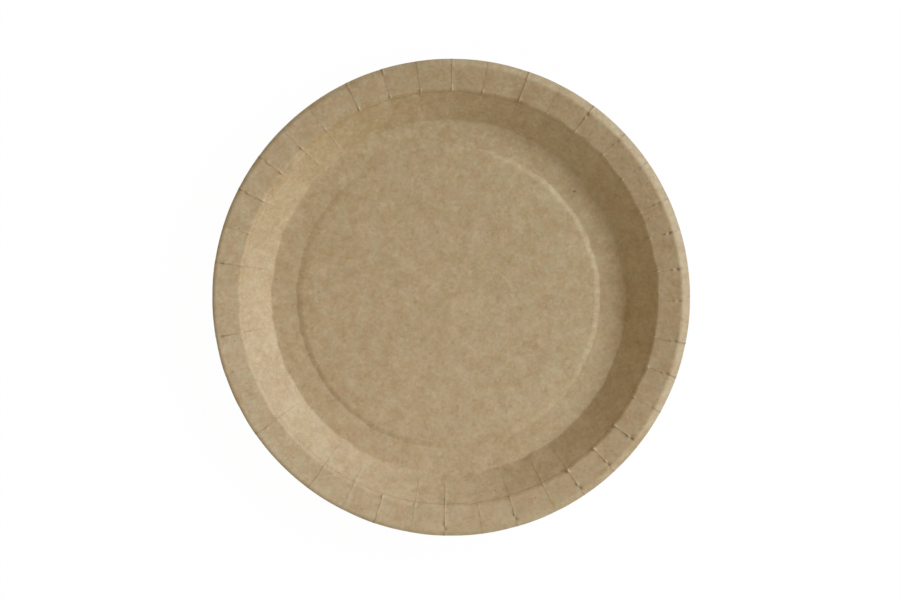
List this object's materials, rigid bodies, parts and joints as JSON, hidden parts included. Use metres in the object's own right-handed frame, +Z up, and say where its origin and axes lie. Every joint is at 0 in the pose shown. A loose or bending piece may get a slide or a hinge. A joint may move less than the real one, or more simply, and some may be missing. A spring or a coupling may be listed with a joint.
{
  "type": "paper plate",
  "caption": "Round brown paper plate with a raised centre panel, a sloping wall, a pleated rim and a turned-down lip, for serving food.",
  "frame": {"origin": "on the table, under the middle of the plate's round edge", "axes": "+Z up through the plate; +X to the right and +Y away from the viewer of the picture, which looks down on it"},
  "size_m": [0.23, 0.23, 0.0145],
  "materials": {
    "brown_paper": "uncoated, matte"
  },
  "bodies": {
    "root": {"plate": "brown_paper"}
  },
  "joints": []
}
